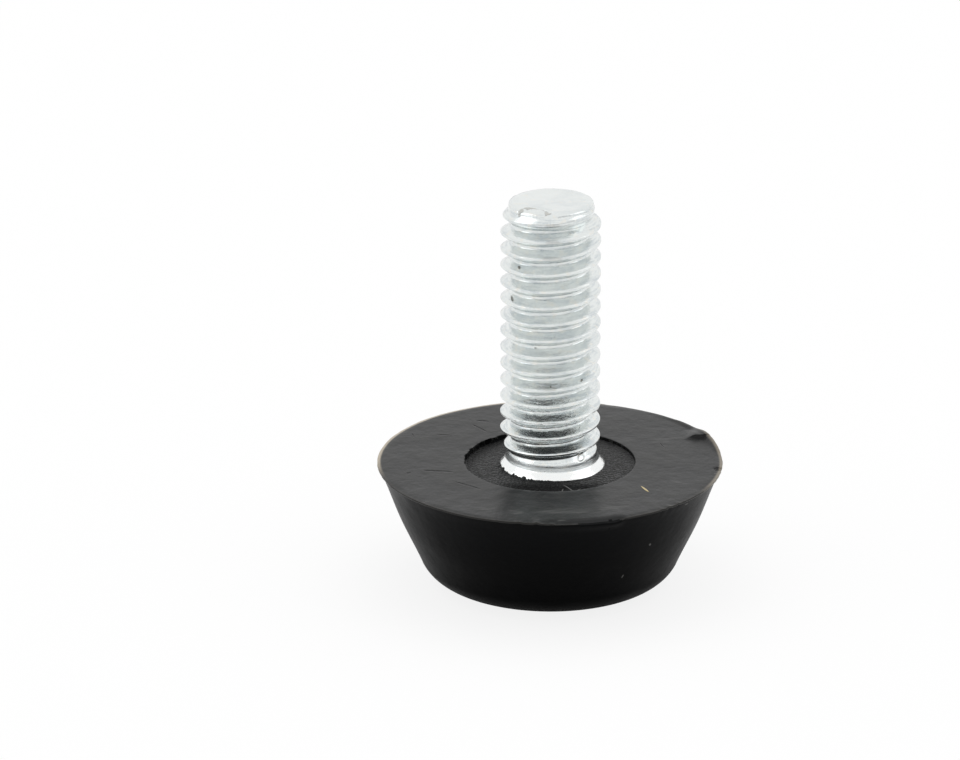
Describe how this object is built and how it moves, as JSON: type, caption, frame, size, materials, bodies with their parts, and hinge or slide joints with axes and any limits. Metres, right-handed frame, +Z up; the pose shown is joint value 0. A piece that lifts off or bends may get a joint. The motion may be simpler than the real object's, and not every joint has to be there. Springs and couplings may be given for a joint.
{
  "type": "screw-in furniture foot",
  "caption": "Round black plastic furniture foot, tapered to a rounded base, with a zinc-plated threaded steel stud moulded into its top.",
  "frame": {"origin": "on the foot's axis, in the plane that the foot stands on, which is the lower face of the ribs", "axes": "+Z up along the stud; the ribs under the base and the mould's gate lie 26 degrees from +X towards +Y"},
  "size_m": [0.0202, 0.0202, 0.0233],
  "materials": {
    "black_plastic": "satin",
    "zinc_plated_steel": "satin"
  },
  "bodies": {
    "root": {"foot_body": "black_plastic", "threaded_stud": "zinc_plated_steel"}
  },
  "joints": []
}
